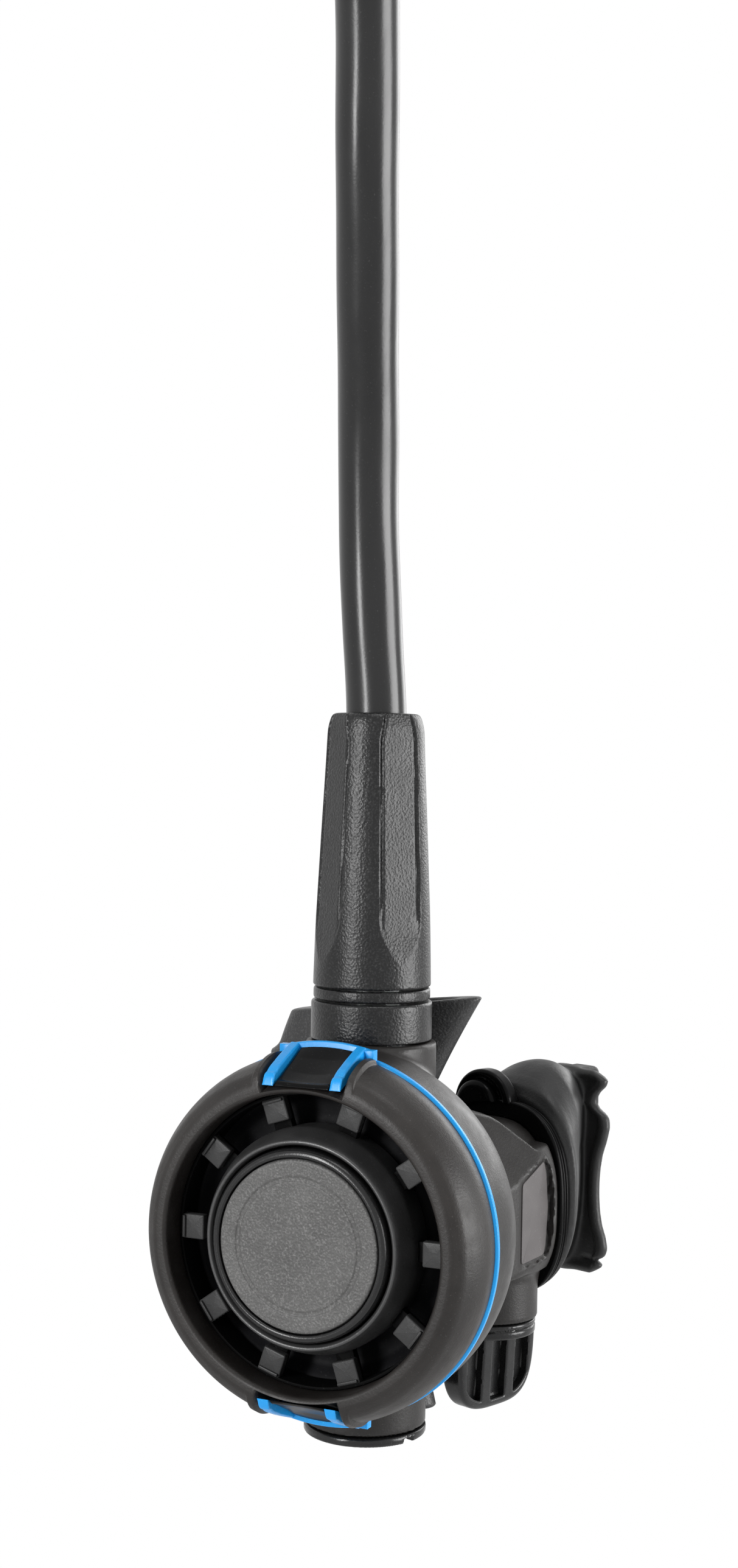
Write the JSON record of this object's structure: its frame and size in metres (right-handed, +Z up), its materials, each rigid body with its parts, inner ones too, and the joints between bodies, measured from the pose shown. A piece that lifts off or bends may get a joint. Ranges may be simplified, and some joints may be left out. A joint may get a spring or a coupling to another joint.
{
  "type": "scuba regulator second stage",
  "caption": "Diver's demand regulator second stage with purge button, flow knob, side exhaust and mouthpiece, hanging on its low-pressure hose.",
  "frame": {"origin": "on the hose fitting's axis, at the shoulder that seats on a first stage's port", "axes": "+Z up along the fitting's thread, -Y out of the purge button's face, +Y towards the mouthpiece, +X the side that the mouthpiece turns to"},
  "size_m": [0.0719, 0.118, 0.3588],
  "materials": {
    "hose_rubber": "satin extruded rubber",
    "moulded_rubber": "matte moulded rubber",
    "seal_rubber": "satin",
    "black_plastic": "fine matte texture",
    "gloss_black_plastic": "polished",
    "soft_touch_plastic": "satin soft-touch",
    "blue_plastic": "satin",
    "grey_label": "fine matte",
    "mouth_silicone": "matte silicone",
    "clear_silicone": "satin translucent",
    "chromed_brass": "satin chrome",
    "stainless": "drawn and brushed"
  },
  "bodies": {
    "hose": {"hose": "hose_rubber", "hose_protector": "moulded_rubber", "hose_crimp": "stainless", "hose_insert": "chromed_brass", "hose_insert_seal": "seal_rubber", "first_stage_fitting": "chromed_brass", "first_stage_seal": "seal_rubber", "first_stage_crimp": "stainless", "first_stage_sleeve": "moulded_rubber"},
    "second_stage": {"hose_nut": "chromed_brass", "swivel_band": "black_plastic", "inlet_collar": "black_plastic", "valve_barrel": "chromed_brass", "valve_orifice": "stainless", "orifice_seal": "seal_rubber", "spring_adjuster": "chromed_brass", "lever_pin": "stainless", "end_cap": "black_plastic", "poppet_spring": "stainless", "purge_spring": "stainless", "rear_case": "soft_touch_plastic", "bezel_ring": "blue_plastic", "front_cover": "soft_touch_plastic", "latch_panel_upper": "gloss_black_plastic", "latch_panel_lower": "gloss_black_plastic", "cover_grille": "black_plastic", "diaphragm": "clear_silicone", "label_plate": "grey_label", "mouthpiece_clamp": "gloss_black_plastic", "mouthpiece": "mouth_silicone", "exhaust_deflector": "moulded_rubber"},
    "purge": {"purge_button": "black_plastic", "purge_face_plate": "black_plastic"},
    "diaphragm_plate": {"diaphragm_disc": "black_plastic"},
    "lever": {"demand_lever": "stainless"},
    "poppet": {"poppet": "black_plastic", "poppet_pad": "seal_rubber", "poppet_lock_nut": "chromed_brass"},
    "flow_knob": {"flow_knob": "black_plastic", "flow_knob_seal": "seal_rubber", "flow_vane": "stainless"},
    "exhaust_valve": {"exhaust_valve": "clear_silicone"}
  },
  "joints": [
    {"name": "hose_swivel", "type": "hinge", "parent": "hose", "child": "second_stage", "pos_m": [-0.0107, 0.0352, -0.2557], "axis": [0, 0, 1], "continuous": true},
    {"name": "purge_press", "type": "slide", "parent": "second_stage", "child": "purge", "axis": [0, 1, 0], "range_m": [0, 0.004], "stiffness_N_per_m": 500, "deforming": ["purge_spring"]},
    {"name": "diaphragm_slide", "type": "slide", "parent": "second_stage", "child": "diaphragm_plate", "axis": [0, 1, 0], "range_m": [0, 0.004], "deforming": ["diaphragm"]},
    {"name": "lever_pivot", "type": "hinge", "parent": "second_stage", "child": "lever", "pos_m": [-0.0107, 0.0384, -0.2908], "axis": [1, 0, 0], "range_deg": [0, 17]},
    {"name": "poppet_slide", "type": "slide", "parent": "second_stage", "child": "poppet", "axis": [0, 0, -1], "range_m": [0, 0.0021], "deforming": ["poppet_spring"]},
    {"name": "flow_knob_turn", "type": "hinge", "parent": "second_stage", "child": "flow_knob", "pos_m": [0.00158, 0.07123, -0.3278], "axis": [0, 0, 1], "range_deg": [0, 90]},
    {"name": "exhaust_lift", "type": "slide", "parent": "second_stage", "child": "exhaust_valve", "axis": [-1, 0, 0], "range_m": [0, 0.0012], "stiffness_N_per_m": 60}
  ],
  "couplings": [
    {"joint": "diaphragm_slide", "follows": "purge_press", "ratio": 1},
    {"joint": "lever_pivot", "follows": "purge_press", "rad_per_m": 74.17},
    {"joint": "poppet_slide", "follows": "purge_press", "ratio": 0.525}
  ]
}
